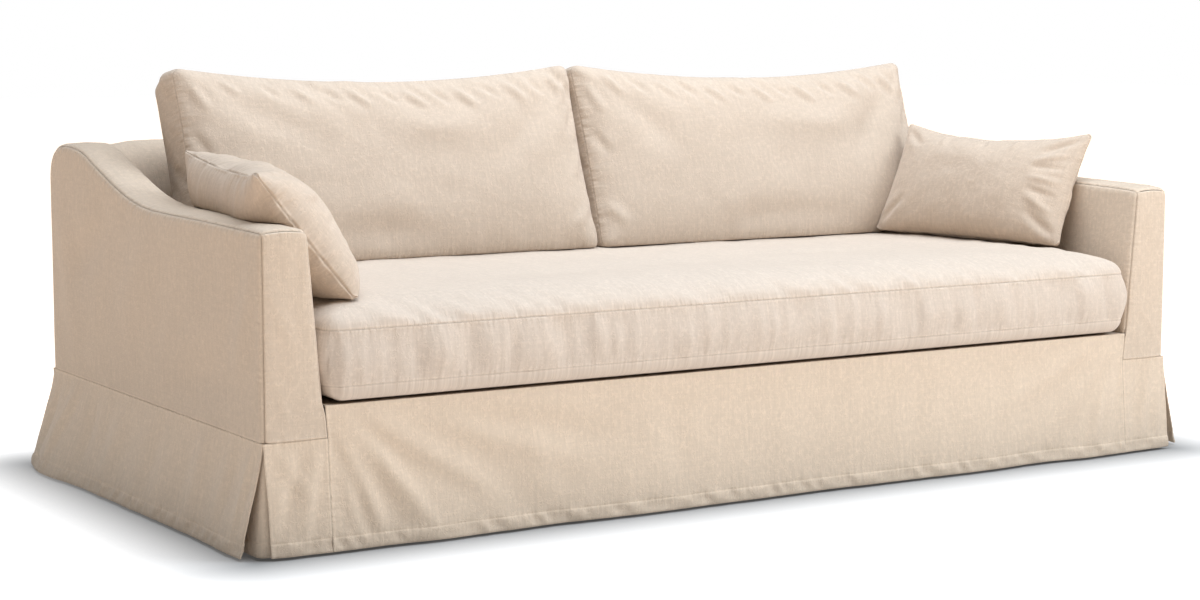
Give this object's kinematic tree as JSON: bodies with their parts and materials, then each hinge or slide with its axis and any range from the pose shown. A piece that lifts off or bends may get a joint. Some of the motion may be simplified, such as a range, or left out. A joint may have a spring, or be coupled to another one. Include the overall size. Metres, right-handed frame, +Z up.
{
  "type": "fitted sofa slipcover set",
  "caption": "Loose-fit cloth cover for a low-armed sofa, with seamed panels, a skirt with corner kick pleats, a bench seat cushion, boxed back cushions and lumbar pillows",
  "frame": {"origin": "middle of the set's plan, at the level of the skirt's hem", "axes": "+X along the width, +Y from the front to the back, +Z up; the sofa faces -Y"},
  "size_m": [2.464, 1.235, 0.8907],
  "materials": {
    "body_cloth": "matt woven cotton and linen blend, warm oatmeal",
    "skirt_cloth": "matt woven cotton and linen blend, warm oatmeal",
    "cushion_cloth": "matt woven cotton and linen blend, warm oatmeal",
    "pillow_cloth": "matt woven cotton and linen blend, warm oatmeal"
  },
  "bodies": {
    "root": {"arm_band_left": "body_cloth", "arm_band_right": "body_cloth", "arm_front_left": "body_cloth", "arm_front_right": "body_cloth", "back_cushion_left": "cushion_cloth", "back_cushion_right": "cushion_cloth", "front_panel": "skirt_cloth", "inner_arm_left": "body_cloth", "inner_arm_right": "body_cloth", "inside_back": "body_cloth", "outer_arm_left": "body_cloth", "outer_arm_right": "body_cloth", "outside_back": "body_cloth", "pillow_left": "pillow_cloth", "pillow_right": "pillow_cloth", "pleat_underlay_back_left": "skirt_cloth", "pleat_underlay_back_right": "skirt_cloth", "pleat_underlay_front_left": "skirt_cloth", "pleat_underlay_front_right": "skirt_cloth", "seat_cushion": "cushion_cloth", "seat_deck": "body_cloth", "skirt_back": "skirt_cloth", "skirt_front_left": "skirt_cloth", "skirt_front_right": "skirt_cloth", "skirt_side_left": "skirt_cloth", "skirt_side_right": "skirt_cloth"}
  },
  "joints": []
}
